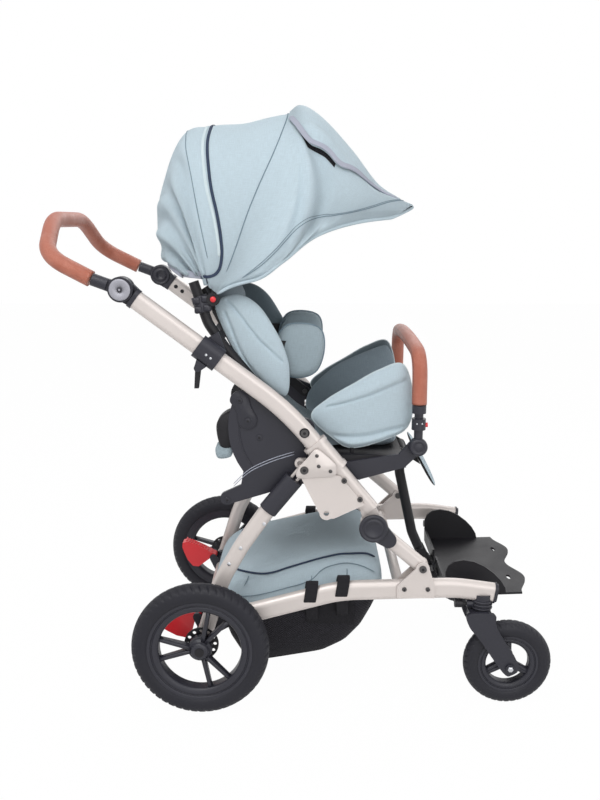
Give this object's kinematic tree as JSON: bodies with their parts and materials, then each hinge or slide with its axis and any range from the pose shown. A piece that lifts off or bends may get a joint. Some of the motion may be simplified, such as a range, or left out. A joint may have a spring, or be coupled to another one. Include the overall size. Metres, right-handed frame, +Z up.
{
  "type": "special needs buggy",
  "caption": "Folding special needs buggy: tilting padded seat with supports, hood, bumper bar, footrest and basket on a tubular frame with rear wheels and swivel casters.",
  "frame": {"origin": "on the floor, under the middle of the buggy's box", "axes": "+X forward, +Y to the occupant's left, +Z up"},
  "size_m": [1.1114, 0.62, 1.3047],
  "materials": {
    "champagne": "satin champagne metallic paint on aluminium tube",
    "dark_plastic": "fine grained moulded plastic",
    "black_plastic": "black satin plastic and powder coat",
    "steel": "zinc plated",
    "tyre": "solid foam tyre",
    "red_plastic": "red moulded plastic",
    "leather": "tan leatherette, stitched",
    "cloth": "pale blue grey polyester",
    "lining": "dark grey soft lining",
    "webbing": "black webbing"
  },
  "bodies": {
    "chassis": {"base_rails": "champagne", "cross_tubes": "champagne", "rail_end_caps": "dark_plastic", "axle_castings": "dark_plastic", "rear_axle": "steel", "fold_brackets": "champagne", "bracket_bolts": "steel", "caster_collars": "dark_plastic", "brake_housings": "dark_plastic", "basket": "cloth", "basket_straps": "webbing"},
    "fold_struts": {"fold_struts": "champagne", "hub_covers": "dark_plastic", "hub_pins": "steel"},
    "upper_frame": {"main_tubes": "champagne", "tube_collars": "champagne", "gussets": "champagne", "frame_bolts": "steel", "tube_clamps": "dark_plastic", "handle_joints": "dark_plastic"},
    "clamp_levers": {"clamp_levers": "black_plastic"},
    "rear_legs": {"rear_legs": "champagne", "leg_sleeves": "dark_plastic"},
    "rear_wheel_l": {"rear_tyre_l": "tyre", "rear_rim_l": "dark_plastic", "brake_disc_l": "steel"},
    "rear_wheel_r": {"rear_tyre_r": "tyre", "rear_rim_r": "dark_plastic", "brake_disc_r": "steel"},
    "caster_l": {"caster_fork_l": "dark_plastic"},
    "caster_r": {"caster_fork_r": "dark_plastic"},
    "caster_wheel_l": {"front_tyre_l": "tyre", "front_rim_l": "dark_plastic"},
    "caster_wheel_r": {"front_tyre_r": "tyre", "front_rim_r": "dark_plastic"},
    "swivel_locks": {"swivel_locks": "black_plastic"},
    "brake_pedal_l": {"brake_pedal_l": "red_plastic"},
    "brake_pedal_r": {"brake_pedal_r": "red_plastic"},
    "push_handle": {"handle_arms": "dark_plastic", "handle_grip": "leather"},
    "seat": {"seat_base": "black_plastic", "tilt_quadrants": "dark_plastic", "seat_cushion": "lining", "side_guards": "cloth"},
    "bumper": {"bumper_posts": "dark_plastic", "bumper_grip": "leather"},
    "bumper_buttons": {"bumper_buttons": "red_plastic"},
    "legrest": {"legrest_post": "black_plastic", "calf_pad": "cloth"},
    "footplate": {"footplate": "dark_plastic"},
    "backrest": {"back_posts": "black_plastic", "back_shell": "black_plastic", "back_cushion": "lining", "side_wings": "cloth", "head_pad": "cloth", "lateral_pads": "lining", "hood_clamps": "dark_plastic"},
    "hood": {"hood_hoops": "steel", "hood_fabric": "cloth"}
  },
  "joints": [
    {"name": "frame_fold", "type": "hinge", "parent": "chassis", "child": "fold_struts", "pos_m": [0.255, 0, 0.325], "axis": [0, 1, 0], "range_deg": [0, 40]},
    {"name": "hub_turn", "type": "hinge", "parent": "fold_struts", "child": "upper_frame", "pos_m": [0.146, 0, 0.419], "axis": [0, -1, 0], "range_deg": [0, 65.9]},
    {"name": "leg_turn", "type": "hinge", "parent": "chassis", "child": "rear_legs", "pos_m": [-0.229, 0, 0.151], "axis": [0, 1, 0], "range_deg": [0, 6.85]},
    {"name": "seat_tilt", "type": "hinge", "parent": "upper_frame", "child": "seat", "pos_m": [-0.00209, 0, 0.62606], "axis": [0, 1, 0], "range_deg": [-10, 5]},
    {"name": "back_recline", "type": "hinge", "parent": "seat", "child": "backrest", "pos_m": [-0.00209, 0, 0.62606], "axis": [0, 1, 0], "range_deg": [-10, 0]},
    {"name": "hood_fold", "type": "hinge", "parent": "backrest", "child": "hood", "pos_m": [-0.19309, 0, 0.90307], "axis": [0, -1, 0], "range_deg": [0, 35]},
    {"name": "handle_turn", "type": "hinge", "parent": "upper_frame", "child": "push_handle", "pos_m": [-0.37736, 0, 0.92622], "axis": [0, 1, 0], "range_deg": [-40, 25]},
    {"name": "bumper_swing", "type": "hinge", "parent": "seat", "child": "bumper", "pos_m": [0.24191, 0, 0.58906], "axis": [0, 1, 0], "range_deg": [0, 85]},
    {"name": "bumper_press", "type": "slide", "parent": "bumper", "child": "bumper_buttons", "axis": [-1, 0, 0], "range_m": [0, 0.004], "stiffness_N_per_m": 400},
    {"name": "legrest_swing", "type": "hinge", "parent": "seat", "child": "legrest", "pos_m": [0.23592, 0, 0.52407], "axis": [0, -1, 0], "range_deg": [0, 40]},
    {"name": "foot_flip", "type": "hinge", "parent": "legrest", "child": "footplate", "pos_m": [0.30991, 0, 0.22207], "axis": [0, -1, 0], "range_deg": [0, 60]},
    {"name": "lever_turn", "type": "hinge", "parent": "upper_frame", "child": "clamp_levers", "pos_m": [-0.22392, 0, 0.76428], "axis": [0, 1, 0], "range_deg": [0, 50]},
    {"name": "caster_swivel_l", "type": "hinge", "parent": "chassis", "child": "caster_l", "pos_m": [0.39, 0.244, 0.23], "axis": [0, 0, 1], "continuous": true},
    {"name": "caster_spin_l", "type": "hinge", "parent": "caster_l", "child": "caster_wheel_l", "pos_m": [0.452, 0.244, 0.098], "axis": [0, 1, 0], "continuous": true},
    {"name": "rear_spin_l", "type": "hinge", "parent": "chassis", "child": "rear_wheel_l", "pos_m": [-0.229, 0.287, 0.151], "axis": [0, 1, 0], "continuous": true},
    {"name": "brake_press_l", "type": "hinge", "parent": "chassis", "child": "brake_pedal_l", "pos_m": [-0.249, 0.169, 0.174], "axis": [0, -1, 0], "range_deg": [0, 18], "stiffness_Nm_per_rad": 2},
    {"name": "caster_swivel_r", "type": "hinge", "parent": "chassis", "child": "caster_r", "pos_m": [0.39, -0.244, 0.23], "axis": [0, 0, 1], "continuous": true},
    {"name": "caster_spin_r", "type": "hinge", "parent": "caster_r", "child": "caster_wheel_r", "pos_m": [0.452, -0.244, 0.098], "axis": [0, 1, 0], "continuous": true},
    {"name": "rear_spin_r", "type": "hinge", "parent": "chassis", "child": "rear_wheel_r", "pos_m": [-0.229, -0.287, 0.151], "axis": [0, 1, 0], "continuous": true},
    {"name": "brake_press_r", "type": "hinge", "parent": "chassis", "child": "brake_pedal_r", "pos_m": [-0.249, -0.169, 0.174], "axis": [0, -1, 0], "range_deg": [0, 18], "stiffness_Nm_per_rad": 2},
    {"name": "lock_pull", "type": "slide", "parent": "chassis", "child": "swivel_locks", "axis": [-1, 0, 0], "range_m": [0, 0.006], "stiffness_N_per_m": 400}
  ],
  "couplings": [
    {"joint": "hub_turn", "follows": "frame_fold", "ratio": 1.6472},
    {"joint": "leg_turn", "follows": "frame_fold", "ratio": 0.171}
  ]
}
